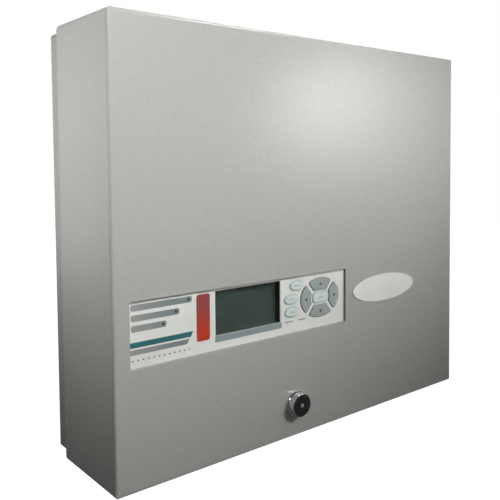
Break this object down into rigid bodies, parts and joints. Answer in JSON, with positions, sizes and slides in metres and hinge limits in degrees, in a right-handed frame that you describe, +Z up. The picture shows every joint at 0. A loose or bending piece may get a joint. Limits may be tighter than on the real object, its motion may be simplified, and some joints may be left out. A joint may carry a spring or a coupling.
{
  "type": "fire alarm control panel",
  "caption": "Wall-mounted fire alarm control panel: deep hinged steel cover with display window, key pad and cam lock over a shallow back box with boards and batteries.",
  "frame": {"origin": "centre of the four wall-fixing holes, on the wall plane", "axes": "+X to the right as seen from the front, +Y into the wall, +Z up"},
  "size_m": [0.355, 0.104, 0.3124],
  "materials": {
    "powder_coat": "fine textured powder coat, light warm grey",
    "zinc_steel": "bright zinc plate",
    "bright_chrome": "polished chrome plate",
    "overlay_film": "fine matt film, off-white",
    "badge_film": "satin, pale grey-white",
    "red_lens": "clear deep red",
    "clear_window": "clear",
    "display_glass": "unlit grey-green liquid crystal glass",
    "lamp_lens": "smoked lens",
    "lamp_body": "white moulding",
    "key_grey": "satin grey film",
    "key_mint": "satin pale mint film",
    "foam": "black closed-cell foam",
    "black_moulding": "black moulding",
    "battery_case": "dark battery case",
    "bush_nylon": "natural nylon",
    "circuit_board": "green solder mask",
    "terminal_green": "green moulding",
    "relay_white": "pale moulding",
    "capacitor_sleeve": "dark sleeve",
    "fuse_glass": "plated clips and fuse",
    "ferrite": "dark ferrite",
    "coil_tape": "yellow tape over the winding",
    "black_aluminium": "black anodised"
  },
  "bodies": {
    "wall_box": {"back_box": "powder_coat", "hinge_bushes": "bush_nylon", "lock_catch": "zinc_steel", "bracket_screws": "zinc_steel", "main_board": "circuit_board", "board_standoffs": "zinc_steel", "board_screws": "zinc_steel", "terminal_blocks": "terminal_green", "relays": "relay_white", "logic_chips": "black_moulding", "capacitors": "capacitor_sleeve", "sounder": "black_moulding", "display_header": "black_moulding", "fuse_holders": "fuse_glass", "power_board": "circuit_board", "transformer_core": "ferrite", "transformer_coil": "coil_tape", "heat_sink": "black_aluminium", "mains_terminal": "relay_white", "battery_left": "battery_case", "battery_right": "battery_case", "battery_terminals": "zinc_steel", "battery_strap": "zinc_steel", "earth_stud": "zinc_steel", "earth_nuts": "zinc_steel"},
    "cover": {"front_cover": "powder_coat", "hinge_pins": "zinc_steel", "fascia_gasket": "foam", "fascia_plate": "black_moulding", "overlay": "overlay_film", "alarm_window": "red_lens", "lcd_window": "clear_window", "lcd_frame": "zinc_steel", "lcd_glass": "display_glass", "lcd_board": "circuit_board", "display_board": "circuit_board", "display_screws": "zinc_steel", "key_switches": "black_moulding", "status_leds": "lamp_lens", "alarm_leds": "lamp_body", "fascia_studs": "zinc_steel", "fascia_nuts": "zinc_steel", "cover_header": "black_moulding", "badge": "badge_film", "lock_body": "bright_chrome", "lock_face": "black_moulding", "lock_nut": "zinc_steel", "cover_earth_stud": "zinc_steel"},
    "lock_cylinder": {"lock_plug": "bright_chrome", "lock_cam": "zinc_steel", "cam_screw": "zinc_steel"},
    "key_up_cap": {"key_up": "key_grey"},
    "key_right_cap": {"key_right": "key_grey"},
    "key_down_cap": {"key_down": "key_grey"},
    "key_left_cap": {"key_left": "key_grey"},
    "key_enter_cap": {"key_enter": "key_mint"},
    "key_top_cap": {"key_top": "key_mint"},
    "key_middle_cap": {"key_middle": "key_mint"},
    "key_bottom_cap": {"key_bottom": "key_mint"}
  },
  "joints": [
    {"name": "cover_swing", "type": "hinge", "parent": "wall_box", "child": "cover", "pos_m": [-0.1685, -0.013, 0], "axis": [0, 0, -1], "range_deg": [0, 92]},
    {"name": "lock_turn", "type": "hinge", "parent": "cover", "child": "lock_cylinder", "pos_m": [-0.0245, -0.0965, -0.129], "axis": [0, -1, 0], "range_deg": [0, 90]},
    {"name": "key_up_press", "type": "slide", "parent": "cover", "child": "key_up_cap", "axis": [0, 1, 0], "range_m": [0, 0.0005], "stiffness_N_per_m": 800},
    {"name": "key_right_press", "type": "slide", "parent": "cover", "child": "key_right_cap", "axis": [0, 1, 0], "range_m": [0, 0.0005], "stiffness_N_per_m": 800},
    {"name": "key_down_press", "type": "slide", "parent": "cover", "child": "key_down_cap", "axis": [0, 1, 0], "range_m": [0, 0.0005], "stiffness_N_per_m": 800},
    {"name": "key_left_press", "type": "slide", "parent": "cover", "child": "key_left_cap", "axis": [0, 1, 0], "range_m": [0, 0.0005], "stiffness_N_per_m": 800},
    {"name": "key_enter_press", "type": "slide", "parent": "cover", "child": "key_enter_cap", "axis": [0, 1, 0], "range_m": [0, 0.0005], "stiffness_N_per_m": 800},
    {"name": "key_top_press", "type": "slide", "parent": "cover", "child": "key_top_cap", "axis": [0, 1, 0], "range_m": [0, 0.0005], "stiffness_N_per_m": 800},
    {"name": "key_middle_press", "type": "slide", "parent": "cover", "child": "key_middle_cap", "axis": [0, 1, 0], "range_m": [0, 0.0005], "stiffness_N_per_m": 800},
    {"name": "key_bottom_press", "type": "slide", "parent": "cover", "child": "key_bottom_cap", "axis": [0, 1, 0], "range_m": [0, 0.0005], "stiffness_N_per_m": 800}
  ]
}
